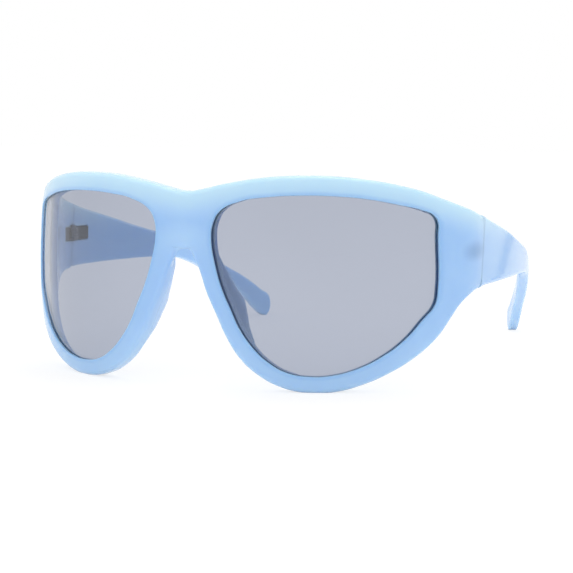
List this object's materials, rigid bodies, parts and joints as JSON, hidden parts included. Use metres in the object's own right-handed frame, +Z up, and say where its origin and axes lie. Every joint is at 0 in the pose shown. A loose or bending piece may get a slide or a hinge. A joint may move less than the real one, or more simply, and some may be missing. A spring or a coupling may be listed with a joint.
{
  "type": "wraparound sunglasses",
  "caption": "Open wraparound sunglasses with a milky blue plastic frame, grey lenses, bonded nose pads and temples that fold on barrel hinges.",
  "frame": {"origin": "on the table, under the middle of the open sunglasses' footprint", "axes": "+X to the wearer's left, +Y from the front back along the temples, +Z up from the table"},
  "size_m": [0.1412, 0.1574, 0.0581],
  "materials": {
    "milky_blue_plastic": "satin, milky and translucent",
    "grey_lens": "clear, lightly tinted grey",
    "hinge_steel": "satin"
  },
  "bodies": {
    "front": {"front": "milky_blue_plastic", "left_lens": "grey_lens", "left_nose_pad": "milky_blue_plastic", "left_hinge_front_leaf": "hinge_steel", "left_hinge_screw": "hinge_steel", "right_lens": "grey_lens", "right_nose_pad": "milky_blue_plastic", "right_hinge_front_leaf": "hinge_steel", "right_hinge_screw": "hinge_steel"},
    "left_temple": {"left_temple": "milky_blue_plastic", "left_hinge_temple_leaf": "hinge_steel"},
    "right_temple": {"right_temple": "milky_blue_plastic", "right_hinge_temple_leaf": "hinge_steel"}
  },
  "joints": [
    {"name": "left_temple_hinge", "type": "hinge", "parent": "front", "child": "left_temple", "pos_m": [0.06494, -0.03164, 0.03702], "axis": [0, 0, 1], "range_deg": [0, 90]},
    {"name": "right_temple_hinge", "type": "hinge", "parent": "front", "child": "right_temple", "pos_m": [-0.06494, -0.03164, 0.03702], "axis": [0, 0, -1], "range_deg": [0, 82]}
  ]
}
